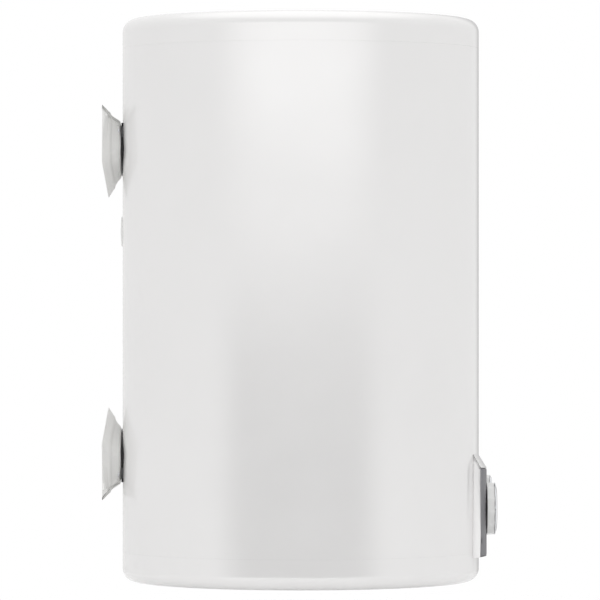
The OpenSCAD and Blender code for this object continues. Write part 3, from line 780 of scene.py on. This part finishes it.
def build_knob(node, name, body, lift=0.0):
    """A twelve-sided grip: flats between soft ridges, a seat at the back and a shoulder in front."""
    lo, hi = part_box(node)
    place = middle(node)
    r = (hi.z - lo.z) / 2 / math.cos(KNOB_TURN)
    back, front = hi.y - lift, lo.y
    rows = []
    for y, pull in ((back, 0.15 * MM), (back - 0.15 * MM, 0.0), (front + 0.9 * MM, 0.35 * MM),
                    (front + 0.3 * MM, 0.7 * MM), (front, 1.3 * MM)):
        loop = []
        for k in range(KNOB_CORNERS):
            for j in range(KNOB_STEPS):
                a = 2 * math.pi * (k + (j + 0.5) / KNOB_STEPS - 0.5) / KNOB_CORNERS
                off = abs((j + 0.5) / KNOB_STEPS - 0.5) * 2 * math.pi / KNOB_CORNERS
                flat = math.cos(math.pi / KNOB_CORNERS) / math.cos(math.pi / KNOB_CORNERS - off)
                ridge = 1 - 0.006 * math.exp(-((off / 0.05) ** 2))
                hollow = 1 - 0.010 * math.sin(math.pi * min(1, off / (math.pi / KNOB_CORNERS)) / 2) ** 2
                rr = (r - pull) * flat * ridge * hollow
                a += KNOB_TURN
                loop.append(Vector((place.x + rr * math.cos(a), y, place.z + rr * math.sin(a))))
        rows.append(loop)
    bm = bmesh.new()
    loft(bm, rows)
    finish_piece(name, bm, "white_plastic", body, [node], smooth=24)


def build_ring(node, name, body, hole):
    """A domed plated ring with a turned step at its outer edge."""
    lo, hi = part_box(node)
    place = middle(node)
    place.y = 0
    r = (hi.z - lo.z) / 2
    front, back = -lo.y, -hi.y
    crown = front - back
    edge = 0.5 * MM
    top_edge = back + crown * 0.34
    outline = [(hole, back), (r - edge * 0.4, back), (r, back + edge * 0.4), (r, top_edge - edge)]
    outline += arc(r - edge, top_edge - edge, edge, 0, 70, 5)
    for k in range(1, 9):
        share = k / 8
        radius = (r - 1.2 * MM) * (1 - share) + (hole + 0.9 * MM) * share
        rise = top_edge + (front - top_edge) * (1 - (1 - share) ** 2)
        outline.append((radius, rise))
    outline += arc(hole + 0.9 * MM, front - 0.9 * MM, 0.9 * MM, 90, 180, 5)
    bm = bmesh.new()
    lathe(bm, outline, place, "front", 120)
    finish_piece(name, bm, "knob_chrome", body, [node], smooth=42)


def build_knob_cap(node, name, body):
    """A dished cap with a graphite pointer let into it."""
    lo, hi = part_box(node)
    place = middle(node)
    place.y = 0
    r = (hi.x - lo.x) / 2
    front, back = -lo.y, -hi.y
    edge = min(0.6 * MM, (front - back) * 0.3)
    outline = [(0, back), (r, back)]
    outline += arc(r - edge, front - edge, edge, 0, 90, 5)
    outline += [(r * 0.82, front - 0.05 * MM), (r * 0.5, front - 0.3 * MM), (0, front - 0.4 * MM)]
    bm = bmesh.new()
    lathe(bm, outline, place, "front", 96, closed=False)
    finish_piece(name, bm, "white_plastic", body, [node], smooth=40)
    bm = bmesh.new()
    width, start, stop = r * 0.13, r * 0.32, r * 0.86
    corners = [(-width / 2 / MM, start / MM), (width / 2 / MM, start / MM),
               (width / 2 / MM, stop / MM), (-width / 2 / MM, stop / MM)]
    bar = rounded_outline(corners, width * 0.45 / MM, 5)
    loops = []
    for rise, pull in ((-0.6, 1), (-0.08, 1), (0.0, 0.9)):
        loops.append([Vector((place.x + p.x * pull * MM, -(front + rise * MM), middle(node).z + p.y * MM))
                      for p in bar])
    loft(bm, loops)
    finish_piece(name + "_pointer", bm, "graphite_plastic", body, smooth=40)


def build_lens():
    lo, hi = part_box("indicator_lens")
    place = middle("indicator_lens")
    place.y = 0
    r = (hi.x - lo.x) / 2
    front, back = -lo.y, -hi.y
    outline = [(0, back), (r, back), (r, front - 1 * MM)]
    outline += [(r * math.cos(a), front - 1 * MM + 1 * MM * math.sin(a))
                for a in (math.radians(15 * k) for k in range(1, 7))]
    bm = bmesh.new()
    lathe(bm, outline, place, "front", 48, closed=False)
    finish_piece("lamp_window", bm, "lamp_lens", ROOT, ["indicator_lens"], smooth=50)


# ---- stage, light and camera ----

FLOOR_Z = BASE - 0.06
FLOOR_RADII = (0, 0.5, 1.0, 1.6)
FLOOR_FADE = (0.25, 0.8)


def build_stage():
    """A pale floor that fades out, under a body that hangs free."""
    bm = bmesh.new()
    centre = Vector((AXIS.x, AXIS.y, FLOOR_Z))
    lathe(bm, [(radius, 0) for radius in FLOOR_RADII], centre, steps=96, closed=False)
    mesh = bpy.data.meshes.new("floor")
    bm.to_mesh(mesh)
    bm.free()
    floor = bpy.data.objects.new("floor", mesh)
    bpy.context.scene.collection.objects.link(floor)
    s = Shader("floor", (0.94, 0.94, 0.94), 0.7, spec=0.1)
    distance = s.node("ShaderNodeVectorMath")
    distance.operation = "DISTANCE"
    s.link(s.coords.outputs["Object"], distance.inputs[0])
    distance.inputs[1].default_value = centre
    s.link(s.spread(distance.outputs["Value"], 1, 0, *FLOOR_FADE), s.bsdf.inputs["Alpha"])
    mesh.materials.append(s.mat)


# Strengths: all round, from straight above and below, of the front light that is held back,
# of the soft box on the left, and of the shade under it.
SURROUND = 0.88
OVERHEAD = 0.75
DARK_CARD = 0.4
SOFTBOX = 0.85
SHADE = 1.25
DARKEST = 0.02
# Where they lie, as parts of the direction looked in: from, full from, full to, to.
LEFT_EDGE = (-0.97, -0.5)
SOFTBOX_HEIGHT = (-0.002, 0.042, 0.12, 0.3)
SHADE_HEIGHT = (-0.15, -0.03, -0.02, 0.002)
STEEP_EDGE = (0.6, 0.95)
RIGHT_EDGE = (0.80, 0.93)
CARD_DEPTH = (-0.42, -0.30, -0.12, -0.04)


def build_world():
    """White surroundings with a broad soft light on the left, a shade below it, and a dark card."""
    world = bpy.data.worlds.new("studio")
    bpy.context.scene.world = world
    world.use_nodes = True
    tree = world.node_tree
    nodes, links = tree.nodes, tree.links
    back = nodes["Background"]
    back.inputs["Color"].default_value = (1, 1, 1, 1)
    coords = nodes.new("ShaderNodeTexCoord")
    parts = nodes.new("ShaderNodeSeparateXYZ")
    links.new(coords.outputs["Generated"], parts.inputs["Vector"])

    def ramp(source, a, b, low, high):
        made = nodes.new("ShaderNodeMapRange")
        made.interpolation_type = "SMOOTHSTEP"
        for key, value in (("From Min", a), ("From Max", b), ("To Min", low), ("To Max", high)):
            made.inputs[key].default_value = value
        links.new(source, made.inputs["Value"])
        return made.outputs["Result"]

    def maths(kind, a, b):
        made = nodes.new("ShaderNodeMath")
        made.operation = kind
        for slot, value in zip(made.inputs, (a, b)):
            if isinstance(value, float):
                slot.default_value = value
            else:
                links.new(value, slot)
        return made.outputs["Value"]

    def bell(source, start, crest_a, crest_b, end):
        rise = ramp(source, start, crest_a, 0.0, 1.0)
        return maths("MULTIPLY", rise, ramp(source, crest_b, end, 1.0, 0.0))

    side = ramp(parts.outputs["X"], *LEFT_EDGE, 1.0, 0.0)
    height = parts.outputs["Z"]
    light = maths("MULTIPLY", bell(height, *SOFTBOX_HEIGHT), SOFTBOX)
    shade = maths("MULTIPLY", bell(height, *SHADE_HEIGHT), SHADE)
    band = maths("MULTIPLY", side, maths("SUBTRACT", light, shade))
    steep = ramp(maths("ABSOLUTE", height, 0.0), *STEEP_EDGE, 0.0, 1.0)
    far = ramp(parts.outputs["X"], *RIGHT_EDGE, 0.0, 1.0)
    card = maths("MULTIPLY", far, bell(parts.outputs["Y"], *CARD_DEPTH))
    extra = maths("SUBTRACT", maths("MULTIPLY", steep, OVERHEAD), maths("MULTIPLY", card, DARK_CARD))
    ambient = maths("ADD", extra, SURROUND)
    total = maths("MAXIMUM", maths("ADD", band, ambient), DARKEST)
    seen = nodes.new("ShaderNodeLightPath")
    mix = nodes.new("ShaderNodeMix")
    links.new(seen.outputs["Is Camera Ray"], mix.inputs["Factor"])
    links.new(total, mix.inputs["A"])
    mix.inputs["B"].default_value = 1.0
    links.new(mix.outputs["Result"], back.inputs["Strength"])


def build_camera():
    """Square on to the left side at mid height, far enough away to look almost flat."""
    away, view_width, nudge = 4.846, 0.6, 0.0007
    data = bpy.data.cameras.new("camera")
    data.sensor_width = 36
    data.lens = data.sensor_width * away / view_width
    camera = bpy.data.objects.new("camera", data)
    middle_z = (BASE + TOP) / 2
    camera.location = (AXIS.x - away, AXIS.y + nudge, middle_z)
    camera.rotation_euler = (math.radians(90), 0, math.radians(-90))
    data.clip_end = 60
    bpy.context.scene.collection.objects.link(camera)
    bpy.context.scene.camera = camera


def main():
    dress_cad_nodes()
    build_camera()
    build_stage()
    build_world()
    build_casing()
    build_top_cap()
    build_bottom_cap()
    build_service_cover()
    build_pipe("cold_inlet_pipe", "cold_nipple")
    build_pipe("hot_outlet_pipe", "hot_nipple")
    build_collar("cold_collar", "cold_ring", "cold_blue")
    build_collar("hot_collar", "hot_ring", "hot_red")
    build_gland()
    build_reset_button()
    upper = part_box("upper_wall_bracket")[1].z
    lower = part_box("lower_wall_bracket")[0].z
    build_bracket("upper_wall_bracket", "upper_pan", upper, 1)
    build_bracket("lower_wall_bracket", "lower_pan", lower, -1)
    build_hook_plate("upper_hook_plate", "upper_slots")
    build_hook_plate("lower_hook_plate", "lower_slots")
    build_seal("upper_pad", upper, 1)
    build_seal("lower_pad", lower, -1)
    build_foam_plug()
    build_panel_surround()
    build_panel_face()
    build_dial_marks()
    build_knob("temperature_knob", "temperature_grip", "temperature_control")
    build_ring("temperature_knob_ring", "temperature_trim", "temperature_control", 17 * MM)
    build_knob_cap("temperature_knob_cap", "temperature_cap", "temperature_control")
    build_knob("power_knob", "power_grip", "power_control", lift=0.4 * MM)
    build_ring("power_knob_ring", "power_trim", "power_control", 8 * MM)
    build_knob_cap("power_knob_cap", "power_cap", "power_control")
    build_lens()
    bpy.context.scene.view_settings.view_transform = "Standard"


main()
